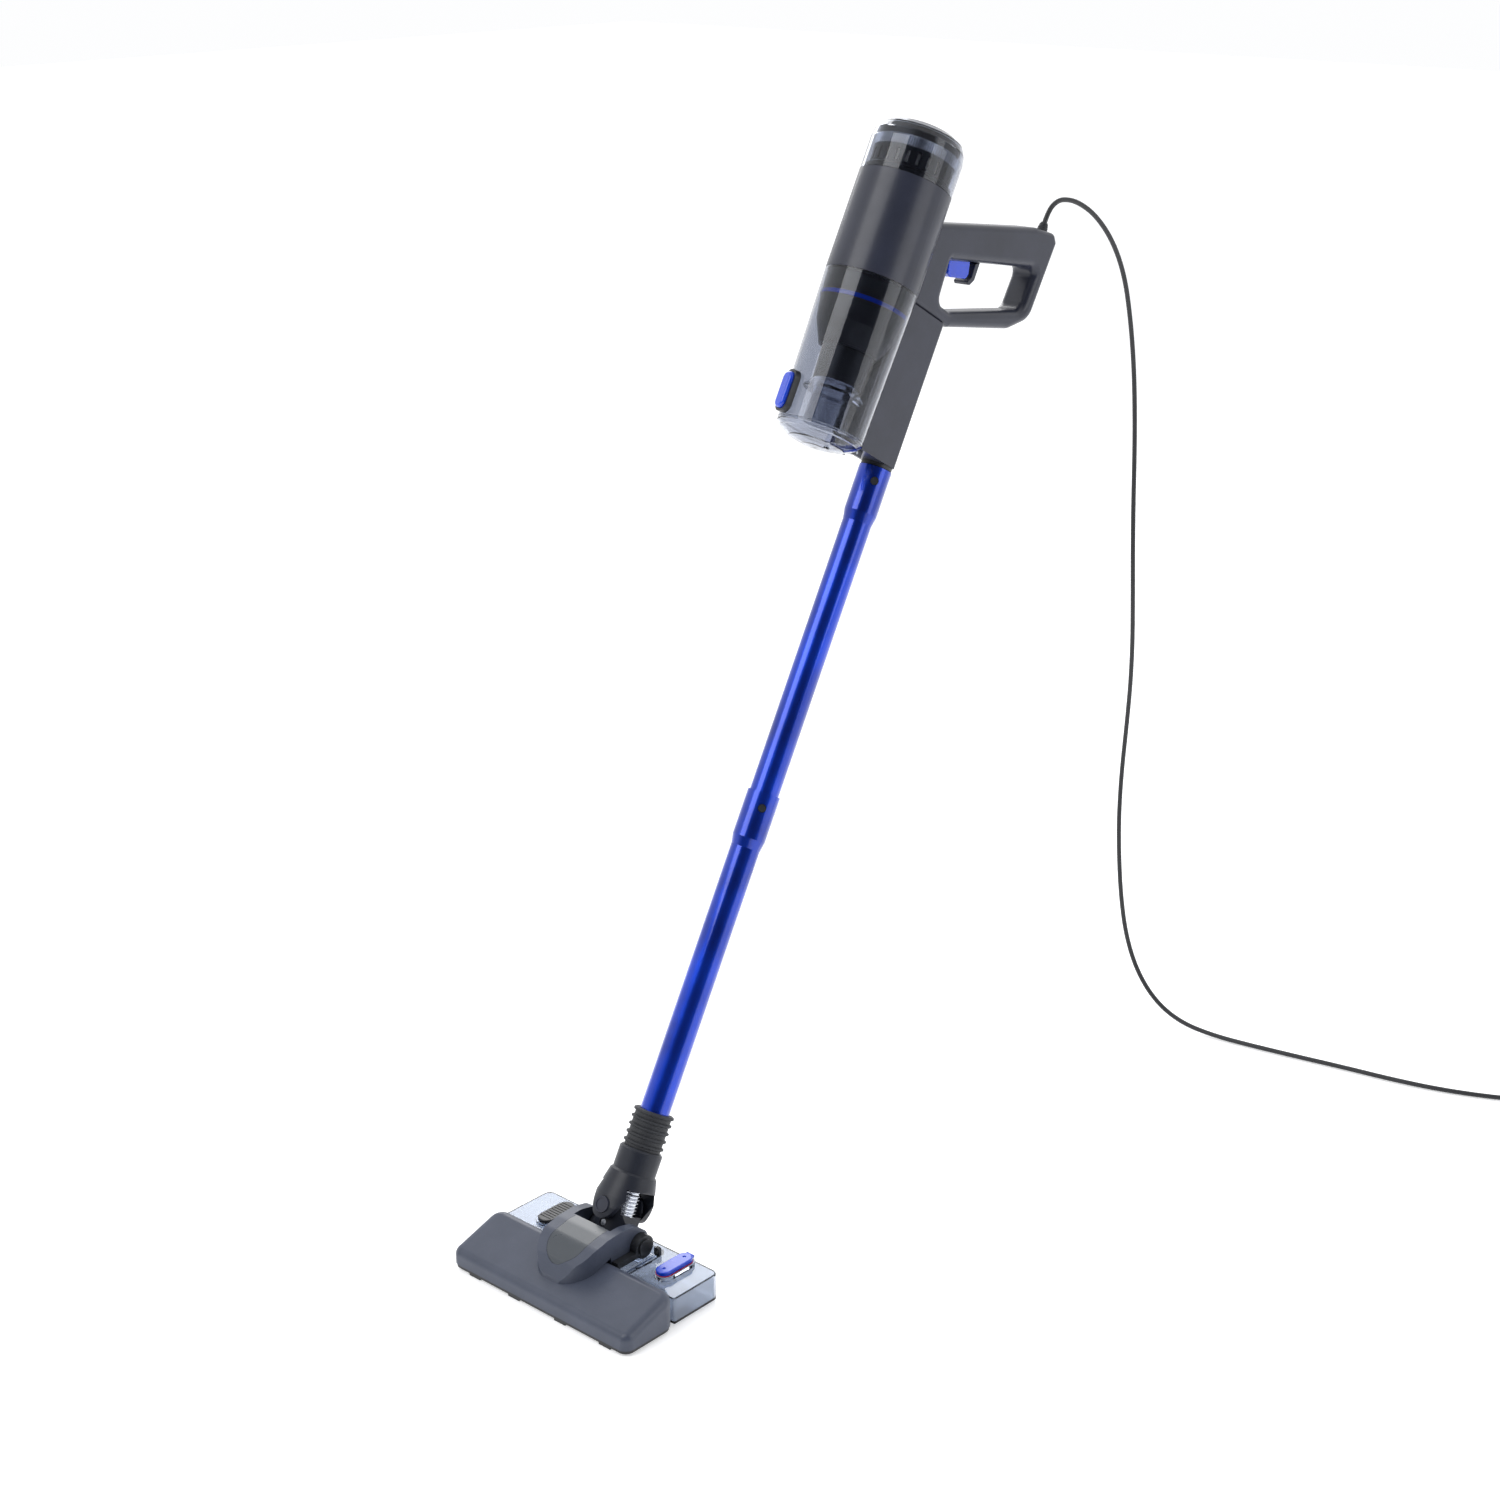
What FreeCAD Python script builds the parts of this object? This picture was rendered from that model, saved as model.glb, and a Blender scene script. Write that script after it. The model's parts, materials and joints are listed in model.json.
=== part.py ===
import FreeCAD, Part
import math, os
from FreeCAD import Vector as V, Placement, Rotation
os.makedirs("parts", exist_ok=True)

# ---- driving dimensions, mm ----
TILT = 29.4          # lean of the wand from vertical, deg
PY, PZ = 42.3, 43.1  # neck pitch axis, from the centre of the floor head's footprint
HEAD_W = 257.0       # floor head width
HEAD_FRONT = -70.0
HEAD_BACK = 2.0      # back edge of the grey shell
TANK_BACK = 70.0
TANK_W = 250.0
TANK_H = 33.2
WALL = 2.5
TUBE_R, TUBE_WALL = 16.0, 1.2
SOCKET_R, SOCKET_BORE = 18.0, 16.08
BIN_K = -106.6       # bin axis, forward of the wand axis
BIN_R, BIN_R_LOW = 50.0, 46.3
S_CAP, S_BODY, S_BIN = 1122.0, 1013.2, 853.0   # seams along the wand axis
S_TOP = 1181.0
HANDLE_HALF = 18.0
GRIP_O = (-13.0, 1080.0)                 # front end of the grip's underside
GRIP_E = (0.942, 0.335)                  # along the underside
GRIP_N = (-0.335, 0.942)                 # into the grip
S_ROLL = 27.0        # roll pins above the pitch axis
SNAP_ANGLE = -41.4   # direction the snap buttons face, deg from +X
S_SNAP_UP, S_SNAP_LOW = 832.5, 468.2
WHEEL_R = 8.0
CORD_R = 2.8
LATCH_TURN = -22.0   # the latch sits this far round the bin from straight ahead
LATCH_DROP = -2.4
PLUG_TURN = 118.0   # which way the plug points on the floor, degrees from +X
Y_SHIFT = -341.8     # from the head's footprint centre to the middle of the whole object

LEAN = Placement(V(0, PY, PZ), Rotation(V(1, 0, 0), -TILT))


BOX = FreeCAD.BoundBox()


def cyl(r, h, base, axis=(0, 0, 1)):
    return Part.makeCylinder(r, h, V(*base), V(*axis))


def rev(pts, cy=0.0, cx=0.0):
    w = Part.makePolygon([V(cx + r, cy, z) for r, z in pts] + [V(cx + pts[0][0], cy, pts[0][1])])
    return Part.Face(w).revolve(V(cx, cy, 0), V(0, 0, 1), 360)


def rwire(pts, radii, to3):
    """closed wire of straight runs and tangent corner arcs"""
    n = len(pts)
    if not hasattr(radii, "__len__"):
        radii = [radii] * n
    ins, outs, mids = [], [], []
    for i in range(n):
        p, a, b = pts[i], pts[i - 1], pts[(i + 1) % n]
        r = radii[i]
        ua = (a[0] - p[0], a[1] - p[1]); la = math.hypot(*ua); ua = (ua[0] / la, ua[1] / la)
        ub = (b[0] - p[0], b[1] - p[1]); lb = math.hypot(*ub); ub = (ub[0] / lb, ub[1] / lb)
        if r <= 0:
            ins.append(p); outs.append(p); mids.append(None); continue
        ang = math.acos(max(-1, min(1, ua[0] * ub[0] + ua[1] * ub[1])))
        t = r / math.tan(ang / 2)
        bis = (ua[0] + ub[0], ua[1] + ub[1]); lbz = math.hypot(*bis); bis = (bis[0] / lbz, bis[1] / lbz)
        dc = r / math.sin(ang / 2)
        ins.append((p[0] + ua[0] * t, p[1] + ua[1] * t))
        outs.append((p[0] + ub[0] * t, p[1] + ub[1] * t))
        mids.append((p[0] + bis[0] * (dc - r), p[1] + bis[1] * (dc - r)))
    edges = []
    for i in range(n):
        if mids[i]:
            edges.append(Part.Arc(to3(*ins[i]), to3(*mids[i]), to3(*outs[i])).toShape())
        j = (i + 1) % n
        if math.hypot(ins[j][0] - outs[i][0], ins[j][1] - outs[i][1]) > 1e-6:
            edges.append(Part.LineSegment(to3(*outs[i]), to3(*ins[j])).toShape())
    return Part.Wire(edges)


def yz(x):
    return lambda a, b: V(x, a, b)


def xz(y):
    return lambda a, b: V(a, y, b)


def xy(z):
    return lambda a, b: V(a, b, z)


def prism_x(pts, radii, x0, x1):
    return Part.Face(rwire(pts, radii, yz(x0))).extrude(V(x1 - x0, 0, 0))


def prism_y(pts, radii, y0, y1):
    return Part.Face(rwire(pts, radii, xz(y0))).extrude(V(0, y1 - y0, 0))


def prism_z(pts, radii, z0, z1):
    return Part.Face(rwire(pts, radii, xy(z0))).extrude(V(0, 0, z1 - z0))


def box(x0, x1, y0, y1, z0, z1):
    return Part.makeBox(x1 - x0, y1 - y0, z1 - z0, V(x0, y0, z0))


def soft(shape, picker, radii):
    """fillet the picked edges with the first radius that works"""
    es = [e for e in shape.Edges if picker(e)]
    for r in radii:
        try:
            s = shape.makeFillet(r, es)
            if s.isValid() and s.Volume > 0:
                return s
        except Exception:
            continue
    return shape


def save(name, shape, lean=True):
    if shape.ShapeType == "Compound" and len(shape.Solids) == 1:
        shape = shape.Solids[0]
    s = shape.copy()
    if lean:
        s.Placement = LEAN.multiply(s.Placement)
    s.translate(V(0, Y_SHIFT, 0))
    if not name.startswith(("cord", "plug")):
        BOX.add(s.BoundBox)
    assert s.isValid(), name
    assert s.Volume > 0, name
    s.exportStep("parts/" + name + ".step")


def group(shapes):
    return Part.makeCompound(shapes)


def gp(e, n):
    """grip coordinates to (k, s)"""
    return (GRIP_O[0] + e * GRIP_E[0] + n * GRIP_N[0], GRIP_O[1] + e * GRIP_E[1] + n * GRIP_N[1])


# =====================================================================
# Handheld unit. Built upright: x across, y = back of the wand axis (k), z = up the wand (s)
# =====================================================================
motor_housing = rev([(24, 1030), (47.5, 1030), (47.5, 1013.5), (BIN_R, 1013.5), (BIN_R, S_CAP - 0.2),
                     (47.5, S_CAP - 0.2), (47.5, 1033), (24, 1033)], BIN_K)
motor_housing = motor_housing.cut(cyl(5, 30, (0, BIN_K + 35, 1062), (0, 1, 0)))
save("motor_housing", motor_housing)

# handle: two shells that meet at x = 0
H_OUT = [(-75, 1017), (-75, 1096.3), (112, 1170.8), (146.4, 1178.5), (155.5, 1171), (152, 1079.6), (121.6, 1056.1), (18, 1017)]
H_OUT_R = [0, 0, 30, 7, 7, 25, 25, 3]
H_IN = [(-13, 1080), (136, 1133), (134, 1083), (15, 1033.5), (-9, 1033.5)]
H_IN_R = [3, 8, 14, 10, 10]
outer = prism_x(H_OUT, H_OUT_R, -HANDLE_HALF, HANDLE_HALF)


def flat_side(e, lim, pick):
    bb = e.BoundBox
    return abs(bb.XMax - bb.XMin) < 0.01 and abs(abs(bb.XMax) - lim) < 0.01 and pick(bb)


outer = soft(outer, lambda e: flat_side(e, HANDLE_HALF, lambda b: b.YMax > -55 and b.ZMax > 1018 and not (b.YMin < -70 and b.ZMax < 1020)), (6.5, 6, 5, 3))
opening = prism_x(H_IN, H_IN_R, -30, 30)
solid = outer.cut(opening)
solid = soft(solid, lambda e: flat_side(e, HANDLE_HALF, lambda b: b.YMin > -16 and b.YMax < 140 and b.ZMin > 1032 and b.ZMax < 1135), (9, 8, 7, 6, 4, 3))
# hollow: block and grip channel
I_OUT = [(-75, 1019.6), (-75, 1093), (111, 1168), (145, 1175.6), (152.7, 1169.5), (149.2, 1081), (120.5, 1058.9), (17.3, 1019.6)]
I_IN = [(-16, 1077.5), (-15.5, 1083.0), (138.3, 1136.8), (136.8, 1081.2), (15.5, 1030.9), (-11, 1030.9)]
I_WIDE = [(-21, 1074.0), (-20, 1087.5), (142.8, 1142.6), (141.2, 1077.8), (16.4, 1026.4), (-15, 1026.4)]
inner = prism_x(I_OUT, [0, 0, 28, 5, 5, 22, 22, 2], -HANDLE_HALF + WALL, HANDLE_HALF - WALL)
inner = soft(inner, lambda e: flat_side(e, HANDLE_HALF - WALL, lambda b: b.YMax > -55), (6.5, 5, 3))
inner_hole = prism_x(I_IN, [6, 4, 11, 12, 12, 12], -30, 30)
inner_hole = prism_x(I_IN, [2, 3, 9, 12, 10, 9], -30, 30)
inner = inner.cut(inner_hole)
for xa, xb in ((10.5, 30), (-30, -10.5)):
    inner = inner.cut(prism_x(I_WIDE, [2, 3, 9, 12, 10, 9], xa, xb))
shell = solid.cut(inner)
# finger guard behind the trigger
hook = prism_x([(37.2, 1096), (43.2, 1100), (43.6, 1080.5), (38.0, 1072.0), (33.6, 1074.2), (38.2, 1081.5)], [0, 0, 3, 1.5, 1.5, 3], -9.5, 9.5)
shell = shell.fuse(hook)
TR_E0, TR_E1, TR_X = 6.5, 44.2, 8.5
slot = prism_x([gp(TR_E0 - 0.4, -6), gp(TR_E1 + 0.4, -6), gp(TR_E1 + 0.4, 20), gp(TR_E0 - 0.4, 20)], 0, -TR_X - 0.35, TR_X + 0.35)
shell = shell.cut(slot)
shell = shell.cut(cyl(BIN_R, 130, (0, BIN_K, 1000)))
shell = shell.cut(cyl(6.3, 30, (0, 143, 1160)))
left = shell.common(box(-60, 0, -120, 200, 900, 1300))
right = shell.common(box(0, 60, -120, 200, 900, 1300))
screws = []
for (k, s) in ((-38, 1042), (145.0, 1104), (-38, 1090), (60, 1042.5)):
    boss_l = cyl(4.2, 16.2, (-17, k, s), (1, 0, 0))
    boss_r = cyl(4.2, 16.2, (0.8, k, s), (1, 0, 0))
    left = left.fuse(cyl(4.2, 16.5, (-16.5, k, s), (1, 0, 0)))
    right = right.fuse(cyl(4.2, 16.5, (0, k, s), (1, 0, 0)))
    right = right.cut(cyl(1.6, 12, (12, k, s), (-1, 0, 0)))
    left = left.cut(cyl(1.9, 18, (0, k, s), (-1, 0, 0))).cut(cyl(3.3, 6, (-14.5, k, s), (-1, 0, 0)))
    sc = cyl(1.5, 22.5, (8.0, k, s), (-1, 0, 0)).fuse(cyl(3.0, 2.2, (-14.5, k, s), (-1, 0, 0)))
    sc = sc.cut(box(-17.5, -16.0, k - 2.2, k + 2.2, s - 0.4, s + 0.4)).cut(box(-17.5, -16.0, k - 0.4, k + 0.4, s - 2.2, s + 2.2))
    screws.append(sc)
save("handle_left", left)
save("handle_right", right)
save("handle_screws", group(screws))

# duct cover behind the bin
D_OUT = [(-75, S_BIN), (10.5, S_BIN), (10.5, 1016.7), (-75, 1016.7)]
duct = prism_x(D_OUT, 0, -HANDLE_HALF, HANDLE_HALF)
duct = soft(duct, lambda e: abs(e.BoundBox.YMin - 10.5) < 0.01 and e.BoundBox.ZMax - e.BoundBox.ZMin > 100, (5, 3))
duct_in = prism_x([(-60, S_BIN + WALL), (8, S_BIN + WALL), (8, 1014), (-60, 1014)], 2, -HANDLE_HALF + WALL, HANDLE_HALF - WALL)
clear = Part.makeCone(BIN_R_LOW + 0.35, BIN_R + 0.35, S_BODY - S_BIN, V(0, BIN_K, S_BIN)).fuse(cyl(BIN_R_LOW + 0.35, 20, (0, BIN_K, S_BIN - 20))).fuse(cyl(BIN_R + 0.35, 10, (0, BIN_K, S_BODY)))
wall_front = Part.makeCone(BIN_R_LOW + 0.35 + WALL, BIN_R + 0.35 + WALL, S_BODY - S_BIN, V(0, BIN_K, S_BIN)).fuse(cyl(BIN_R + 0.35 + WALL, 10, (0, BIN_K, S_BODY)))
duct = duct.cut(duct_in.cut(wall_front)).cut(clear)
duct = duct.cut(cyl(17.1, 16, (0, 0, S_BIN - 6)))
# notch for the lid hinge
duct = duct.cut(box(-9.1, 9.1, -62, -46.5, S_BIN - 1, S_BIN + 8))
lug = prism_x([(-59.5, 845.8), (-45.0, 845.8), (-45.0, 858.0), (-57.0, 858.0)], [0, 0, 0, 0], 9.1, 12.4).fuse(prism_x([(-59.5, 845.8), (-45.0, 845.8), (-45.0, 858.0), (-57.0, 858.0)], [0, 0, 0, 0], -12.4, -9.1))
lug = lug.cut(cyl(BIN_R_LOW + 0.35, 40, (0, BIN_K, S_BIN - 20))).cut(cyl(47.0, 10, (0, BIN_K, S_BIN - 10)))
duct = duct.fuse(lug).cut(cyl(1.5, 30, (-15, -53.6, 849.0), (1, 0, 0)))
# air way into the bin
air = cyl(9, 14, (0, -60, 985), (0, 1, 0))
duct = duct.cut(air)
save("duct_cover", duct)

hd = (math.cos(math.radians(SNAP_ANGLE)), math.sin(math.radians(SNAP_ANGLE)), 0)


def radial(r, h, s, r0):
    return cyl(r, h, (hd[0] * r0, hd[1] * r0, s), hd)


spigot = rev([(12.5, 800), (16.0, 800), (16.0, 849.0), (17.0, 849.0), (17.0, 862), (12.5, 862)])
spigot = spigot.cut(radial(4.6, 10, S_SNAP_UP, 9))
save("wand_spigot", spigot)

# cyclone inside the bin
sep = rev([(30, 1011.5), (46.5, 1011.5), (46.5, 1006), (45.8, 991.5), (45.4, 985), (42, 962), (31.5, 938), (29, 938), (39.5, 963), (42.5, 985), (43.4, 1006), (30, 1006)], BIN_K)
sep = sep.cut(cyl(9.0, 30, (0, -75, 985), (0, 1, 0)))
save("separator_cone", sep)
save("filter_tube", rev([(22.5, 903), (25.5, 903), (28.7, 962), (25.7, 962)], BIN_K).fuse(rev([(25.7, 960), (38.0, 960.2), (38.0, 961.9), (25.7, 962)], BIN_K)).removeSplitter())
save("vortex_skirt", rev([(19.2, 856.5), (21.2, 856.5), (21.2, 893), (31.5, 891), (32.8, 892.2), (24.5, 902.7), (19.2, 902.7)], BIN_K))
save("seal_ring", rev([(45.7, 985.6), (46.85, 985.2), (46.85, 989.6), (45.95, 989.4)], BIN_K))
save("pre_filter", rev([(0, 1012.0), (29.5, 1012.0), (29.5, 1029.6), (0, 1029.6)], BIN_K))

# dust bin
slope = (BIN_R - BIN_R_LOW) / (S_BODY - S_BIN)
ri = lambda s: BIN_R_LOW + (s - S_BIN) * slope
dust_bin = rev([(ri(S_BIN) - 2.2, S_BIN), (ri(S_BIN), S_BIN), (BIN_R, S_BODY), (BIN_R - 2.2, S_BODY)], BIN_K)
dust_bin = dust_bin.cut(cyl(9.2, 20, (0, -65, 985), (0, 1, 0)))
# latch seat: flat pad on the front wall
pad = box(-11.5, 11.5, BIN_K - 50.5, BIN_K - 44.3, 856, 901)


def round_bin(shape):
    """turns a front feature round the bin's axis to where the latch sits, a little lower"""
    c = shape.copy()
    c.rotate(V(0, BIN_K, 0), V(0, 0, 1), LATCH_TURN)
    c.translate(V(0, 0, LATCH_DROP))
    return c


dust_bin = dust_bin.cut(round_bin(box(-11.8, 11.8, BIN_K - 60, BIN_K - 46.6, 855.5, 901.3)))
save("dust_bin", dust_bin)
LY = BIN_K - 46.9
bezel = prism_y([(-11.2, 856), (11.2, 856), (11.2, 901), (-11.2, 901)], 10, LY - 6.6, LY)
bezel = bezel.cut(prism_y([(-8.7, 858.5), (8.7, 858.5), (8.7, 898.5), (-8.7, 898.5)], 7.9, LY - 8, LY - 1.5))
save("latch_bezel", round_bin(bezel))
latch = prism_y([(-8.2, 859.0), (8.2, 859.0), (8.2, 898.0), (-8.2, 898.0)], 7.4, LY - 10.8, LY - 5.2)
latch = soft(latch, lambda e: abs(e.BoundBox.YMin - (LY - 10.8)) < 0.01 and abs(e.BoundBox.YMax - (LY - 10.8)) < 0.01, (3, 2, 1.2))
save("lid_latch", round_bin(latch))
save("latch_spring", round_bin(cyl(3.2, 3.5, (0, LY - 5.1, 878.5), (0, 1, 0))))

# bottom lid, hinged at the back
lid_out = rev([(0, 833.5), (14, 834.3), (30, 838), (42, 845), (46.2, 849.5), (46.2, 852.5), (43.8, 852.5), (43.8, 850.5), (40.5, 847.3), (29.2, 840.6), (13.8, 836.7), (0, 835.9)], BIN_K)
HK = -53.6   # hinge pin k
HS = 849.0
ear = prism_x([(HK - 9, 846), (HK + 3.6, 846), (HK + 3.6, 852.4), (HK - 9, 852.4)], [0, 2.5, 2.5, 0], -8.8, 8.8)
ear = ear.cut(cyl(44.5, 40, (0, BIN_K, 820)))
lid = lid_out.fuse(ear)
lid = lid.cut(cyl(1.55, 30, (-15, HK, HS), (1, 0, 0)))
lid = lid.fuse(cyl(3.0, 3.5, (18, BIN_K - 4, 833.8)))
save("bin_lid", lid.removeSplitter())
save("lid_seal", rev([(41.5, 850.9), (43.6, 850.9), (43.6, 852.7), (41.5, 852.7)], BIN_K))
pin_out = cyl(1.5, 25, (-12.5, HK, HS), (1, 0, 0))
lugs = []
save("lid_hinge_pin", pin_out)

# motor
can = rev([(34, 1046), (36, 1046), (36, 1112), (8.5, 1112), (8.5, 1110), (34, 1110)], BIN_K)
can = can.fuse(rev([(8.5, 1046), (34.5, 1046), (34.5, 1048), (8.5, 1048)], BIN_K)).fuse(rev([(35.5, 1070), (47.5, 1070), (47.5, 1074), (35.5, 1074)], BIN_K))
save("motor_can", can.removeSplitter())
save("motor_bearings", group([rev([(4.03, 1046.2), (8.5, 1046.2), (8.5, 1051), (4.03, 1051)], BIN_K), rev([(4.03, 1107), (8.5, 1107), (8.5, 1111.8), (4.03, 1111.8)], BIN_K)]))
save("motor_shaft", cyl(4.0, 76, (0, BIN_K, 1037)))
save("armature", rev([(4.0, 1056), (30, 1056), (30, 1100), (4.0, 1100)], BIN_K))
imp = rev([(4.0, 1037.5), (32, 1037.5), (32, 1039), (4.0, 1039)], BIN_K)
hub = rev([(4.0, 1034.5), (9, 1034.5), (9, 1044.5), (4.0, 1044.5)], BIN_K)
blades = []
for i in range(9):
    b = box(8, 31, -0.6, 0.6, 1038.8, 1044.0)
    b.rotate(V(0, 0, 0), V(0, 0, 1), 40 * i)
    b.translate(V(0, BIN_K, 0))
    blades.append(b)
imp = imp.fuse([hub] + blades).removeSplitter()
save("impeller", imp)

# exhaust end
drum = rev([(30, 1122.4), (46.5, 1122.4), (46.5, 1128), (43.0, 1131), (43.0, 1172), (38, 1174.5), (0, 1175.5), (0, 1173), (37, 1172), (40.5, 1170), (40.5, 1130), (30, 1125)], BIN_K)
for i in range(24):
    c = box(39, 45, -1.6, 1.6, 1133, 1146)
    c.rotate(V(0, 0, 0), V(0, 0, 1), 15 * i)
    c.translate(V(0, BIN_K, 0))
    drum = drum.cut(c)
save("exhaust_drum", drum)
ring = rev([(43.2, 1150), (44.4, 1150), (44.4, 1161), (43.2, 1161)], BIN_K)
ribs = []
for i in range(72):
    c = box(44.2, 45.2, -0.9, 0.9, 1150.6, 1160.4)
    c.rotate(V(0, 0, 0), V(0, 0, 1), 5 * i)
    c.translate(V(0, BIN_K, 0))
    ribs.append(c)
save("exhaust_ring", ring.fuse(ribs))
save("exhaust_filter", rev([(30, 1133), (40.2, 1133), (40.2, 1169), (30, 1169)], BIN_K))
cap = rev([(47.3, S_CAP + 0.2), (BIN_R, S_CAP + 0.2), (BIN_R, 1158), (48.6, 1167), (44.5, 1175), (37, 1179.5), (20, 1181.5), (0, 1182), (0, 1179.4), (20, 1179), (36, 1177.1), (42.8, 1173.2), (46.2, 1166.4), (47.3, 1158)], BIN_K)
save("exhaust_cap", cap)

# trigger group
trig = prism_x([gp(TR_E0, 12), gp(TR_E0 + 0.5, -15), gp(TR_E0 + 4.5, -17.3), gp(TR_E1 - 8, -18.5), gp(TR_E1 - 3, -16.0), gp(TR_E1, 12)], [1, 6, 5, 5, 4, 1], -TR_X, TR_X)
trig = prism_x([gp(TR_E0, 12), gp(TR_E0, -14), gp(TR_E0 + 6, -17.6), gp(TR_E1 - 4, -18.2), gp(TR_E1, -13), gp(TR_E1, 12)], [1, 3, 4, 4, 3, 1], -TR_X, TR_X)
trig = soft(trig, lambda e: flat_side(e, TR_X, lambda b: b.ZMin < 1076), (1.8, 1))
save("trigger", trig)
sp0 = gp(37, 12.1)
save("trigger_spring", cyl(3.6, 17, (0, sp0[0], sp0[1]), (0, GRIP_N[0], GRIP_N[1])))
save("trigger_switch", prism_x([gp(9, 16.6), gp(28, 16.6), gp(28, 29), gp(9, 29)], 0, -7, 7))

# ---- wand ----
upper = rev([(TUBE_R - TUBE_WALL, 440), (TUBE_R, 440), (TUBE_R, 787), (SOCKET_R, 798), (SOCKET_R, 848), (SOCKET_BORE, 848), (SOCKET_BORE, 799), (TUBE_R - TUBE_WALL, 788)])
upper = upper.cut(radial(4.6, 12, S_SNAP_UP, 10)).cut(radial(4.6, 12, S_SNAP_LOW, 10))
save("upper_tube", upper)
lower = rev([(TUBE_R - TUBE_WALL, 71), (TUBE_R, 71), (TUBE_R, 424), (SOCKET_R, 434.5), (SOCKET_R, 484.5), (SOCKET_BORE, 484.5), (SOCKET_BORE, 435.5), (TUBE_R - TUBE_WALL, 425)])
lower = lower.cut(radial(4.6, 12, S_SNAP_LOW, 10))
save("lower_tube", lower)


def snap_button(s, rflange, bore):
    b = radial(4.2, 17.6 - rflange, s, rflange)
    f = radial(5.6, 1.2, s, rflange - 1.0)
    b = b.fuse(f)
    return b.removeSplitter()


save("snap_button_upper", snap_button(S_SNAP_UP, 10.2, 12.5))
save("snap_button_lower", snap_button(S_SNAP_LOW, 12.2, 14.8))


def leaf(s, r0, bore):
    pts = [(r0 - 0.05, s - 4), (r0 - 0.05, s + 4), (r0 - 1.2, s + 6), (-bore + 0.6, s + 23), (-bore + 0.1, s + 19), (r0 - 2.0, s + 4.6), (r0 - 0.7, s + 3.2), (r0 - 0.7, s - 4)]
    f = Part.Face(Part.makePolygon([V(a, -2.2, b) for a, b in pts] + [V(pts[0][0], -2.2, pts[0][1])])).extrude(V(0, 4.4, 0))
    f.rotate(V(0, 0, 0), V(0, 0, 1), SNAP_ANGLE)
    return f


save("snap_springs", group([leaf(S_SNAP_UP, 9.2, 12.4), leaf(S_SNAP_LOW, 11.2, 14.7)]))

# ---- neck, upper part ----
pts = [(16.1, 89.2), (23.0, 89.2)]
prof = [(16.1, 91.5), (19.6, 91.5)]
for c in (96.5, 105.0, 113.5, 122.0):
    prof += [(19.6, c - 2.1), (21.9, c - 0.9), (21.9, c + 0.9), (19.6, c + 2.1)]
prof += [(19.6, 128), (21.9, 129.0), (21.9, 131.2), (20.4, 132.2), (16.1, 132.2)]
save("ribbed_collar", rev(prof))

sock = rev([(16.1, 91.3), (21.4, 91.3), (23.3, 89.0), (23.3, 66.2), (25.4, 64.2), (27.0, 58), (29.4, 48), (31.6, 38), (33.4, 27), (33.6, 18), (32.8, 10), (13, 10), (13, 70), (16.1, 70)])
outline = prism_y([(-30, 92), (30, 92), (30, 52), (27.2, 52)], 0, -40, 40)


def hull_plate(r, s0, half, s1, top, y0, y1):
    """plate seen along k: circle r at s0 joined by tangents to a wider edge at s1"""
    up = 1 if s1 > s0 else -1
    d = math.hypot(half, s1 - s0)
    a = math.atan2(abs(s1 - s0), half) - math.acos(r / d)
    tx, tz = r * math.cos(a), s0 + up * r * math.sin(a)
    poly = [V(half, 0, s1), V(half, 0, top), V(-half, 0, top), V(-half, 0, s1), V(-tx, 0, tz)]
    e = [Part.LineSegment(poly[i], poly[i + 1]).toShape() for i in range(4)]
    far = V(0, 0, s0 - up * r)
    e.append(Part.Arc(V(-tx, 0, tz), far, V(tx, 0, tz)).toShape())
    e.append(Part.LineSegment(V(tx, 0, tz), poly[0]).toShape())
    f = Part.Face(Part.Wire(e))
    f.translate(V(0, y0, 0))
    return f.extrude(V(0, y1 - y0, 0))


legs = hull_plate(14.0, S_ROLL, 28.5, 53.0, 100.0, -45, 45)
sock = sock.common(legs)
sock = sock.cut(box(-45, 45, -23.3, 23.3, 0, 50))
for sg in (-1, 1):
    sock = sock.cut(cyl(4.0, 30, (0, sg * 20, S_ROLL), (0, sg, 0)))
    sock = sock.cut(cyl(9.2, 8, (0, sg * 31.4, S_ROLL), (0, sg, 0)))
sock = soft(sock, lambda e: abs(e.BoundBox.ZMin - 50) < 0.01 and abs(e.BoundBox.ZMax - 50) < 0.01 and abs(abs(e.BoundBox.YMin) - 23.3) < 0.01, (3, 2))
save("neck_socket", sock)
pins = []
for sg in (-1, 1):
    p = cyl(4.0, 14.1, (0, sg * 17.3, S_ROLL), (0, sg, 0)).fuse(cyl(8.7, 2.9, (0, sg * 31.4, S_ROLL), (0, sg, 0)))
    p = p.cut(cyl(6.6, 1.0, (0, sg * 33.7, S_ROLL), (0, sg, 0)))
    pins.append(p.removeSplitter())
save("roll_pins", group(pins))

# ---- neck, lower part ----
low = rev([(17.1, 5), (17.1, 60), (22.5, 60), (22.5, 0), (0, 0), (0, 5)])
lug_outline = hull_plate(13.0, S_ROLL, 22.6, 9.0, -20.0, -30, 30)
low = low.common(lug_outline)
low = low.cut(box(-40, 40, -17.1, 17.1, 22, 60))
low = low.fuse(cyl(12.5, 50, (-25, 0, 0), (1, 0, 0))).fuse(cyl(7.0, 78, (-39, 0, 0), (1, 0, 0)))
low = low.cut(cyl(9, 30, (0, 0, -16)))
low = low.cut(cyl(17.1, 20, (0, 0, 5)))
for sg in (-1, 1):
    low = low.cut(cyl(4.05, 14, (0, sg * 14, S_ROLL), (0, sg, 0)))
low = low.cut(cyl(4.3, 6, (0, -25, 8.5), (0, 1, 0)))
low = low.removeSplitter()
save("neck_lower", low)
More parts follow.
